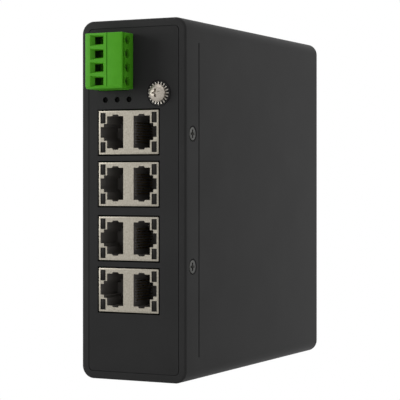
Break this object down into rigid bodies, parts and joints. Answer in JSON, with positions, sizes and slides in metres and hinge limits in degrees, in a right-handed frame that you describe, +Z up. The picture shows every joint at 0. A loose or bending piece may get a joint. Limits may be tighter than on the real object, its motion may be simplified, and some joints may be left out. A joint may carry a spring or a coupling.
{
  "type": "din rail ethernet switch",
  "caption": "Upright black metal case with stacked network jacks, a green pluggable power terminal, a ground screw and a sprung rail clip behind.",
  "frame": {"origin": "middle of the flat base", "axes": "+X to the right of a viewer who faces the ports, +Y from the ports towards the rail, +Z up"},
  "size_m": [0.0444, 0.1422, 0.1352],
  "materials": {
    "black_paint": "matt black powder coat",
    "film": "matt black printed film",
    "dark_screw": "black zinc plated",
    "nickel": "bright nickel plate",
    "shield": "satin nickel plated brass sheet",
    "black_plastic": "moulded",
    "smoked_plastic": "unlit light guide",
    "gold": "gold flash",
    "green_plastic": "moulded, satin",
    "tin": "tin plated",
    "zinc": "bright zinc plated",
    "board": "green solder mask",
    "chip_plastic": "moulded",
    "sink": "black anodised",
    "can": "drawn can",
    "spring_steel": "hard drawn wire"
  },
  "bodies": {
    "case": {"front_cover": "black_paint", "front_film": "film", "body_shell": "black_paint", "rear_plate": "black_paint", "side_screws": "dark_screw", "rear_plate_screws": "dark_screw", "ground_screw": "nickel", "toothed_washer": "nickel", "main_board": "board", "terminal_header": "green_plastic", "header_pins": "tin", "light_block": "black_plastic", "status_lenses": "smoked_plastic", "switch_chip": "chip_plastic", "heat_sink": "sink", "filter_capacitors": "can", "power_inductor": "chip_plastic", "crystal": "can", "input_diodes": "chip_plastic", "din_bracket": "zinc", "bracket_screws": "zinc", "latch_spring": "spring_steel", "jack_shield_1": "shield", "jack_insert_1": "black_plastic", "jack_windows_1": "smoked_plastic", "jack_contacts_1": "gold", "jack_shield_2": "shield", "jack_insert_2": "black_plastic", "jack_windows_2": "smoked_plastic", "jack_contacts_2": "gold", "jack_shield_3": "shield", "jack_insert_3": "black_plastic", "jack_windows_3": "smoked_plastic", "jack_contacts_3": "gold", "jack_shield_4": "shield", "jack_insert_4": "black_plastic", "jack_windows_4": "smoked_plastic", "jack_contacts_4": "gold"},
    "latch": {"din_latch": "zinc"},
    "plug": {"terminal_plug": "green_plastic", "plug_contacts": "tin"},
    "clamp_screw_1": {"clamp_screw_1": "zinc"},
    "clamp_cage_1": {"clamp_cage_1": "tin"},
    "clamp_screw_2": {"clamp_screw_2": "zinc"},
    "clamp_cage_2": {"clamp_cage_2": "tin"},
    "clamp_screw_3": {"clamp_screw_3": "zinc"},
    "clamp_cage_3": {"clamp_cage_3": "tin"},
    "clamp_screw_4": {"clamp_screw_4": "zinc"},
    "clamp_cage_4": {"clamp_cage_4": "tin"}
  },
  "joints": [
    {"name": "latch_slide", "type": "slide", "parent": "case", "child": "latch", "axis": [0, 0, -1], "range_m": [0, 0.003], "stiffness_N_per_m": 900, "springref_m": -0.002, "deforming": ["latch_spring"]},
    {"name": "plug_pull", "type": "slide", "parent": "case", "child": "plug", "axis": [0, -1, 0], "range_m": [0, 0.0085]},
    {"name": "clamp_turn_1", "type": "hinge", "parent": "plug", "child": "clamp_screw_1", "pos_m": [-0.00315, -0.068, 0.12702], "axis": [-1, 0, 0], "range_deg": [0, 2160]},
    {"name": "clamp_rise_1", "type": "slide", "parent": "plug", "child": "clamp_cage_1", "axis": [1, 0, 0], "range_m": [0, 0.0027]},
    {"name": "clamp_turn_2", "type": "hinge", "parent": "plug", "child": "clamp_screw_2", "pos_m": [-0.00315, -0.068, 0.12194], "axis": [-1, 0, 0], "range_deg": [0, 2160]},
    {"name": "clamp_rise_2", "type": "slide", "parent": "plug", "child": "clamp_cage_2", "axis": [1, 0, 0], "range_m": [0, 0.0027]},
    {"name": "clamp_turn_3", "type": "hinge", "parent": "plug", "child": "clamp_screw_3", "pos_m": [-0.00315, -0.068, 0.11686], "axis": [-1, 0, 0], "range_deg": [0, 2160]},
    {"name": "clamp_rise_3", "type": "slide", "parent": "plug", "child": "clamp_cage_3", "axis": [1, 0, 0], "range_m": [0, 0.0027]},
    {"name": "clamp_turn_4", "type": "hinge", "parent": "plug", "child": "clamp_screw_4", "pos_m": [-0.00315, -0.068, 0.11178], "axis": [-1, 0, 0], "range_deg": [0, 2160]},
    {"name": "clamp_rise_4", "type": "slide", "parent": "plug", "child": "clamp_cage_4", "axis": [1, 0, 0], "range_m": [0, 0.0027]}
  ],
  "couplings": [
    {"joint": "clamp_turn_1", "follows": "clamp_rise_1", "rad_per_m": 13963},
    {"joint": "clamp_turn_2", "follows": "clamp_rise_2", "rad_per_m": 13963},
    {"joint": "clamp_turn_3", "follows": "clamp_rise_3", "rad_per_m": 13963},
    {"joint": "clamp_turn_4", "follows": "clamp_rise_4", "rad_per_m": 13963}
  ]
}
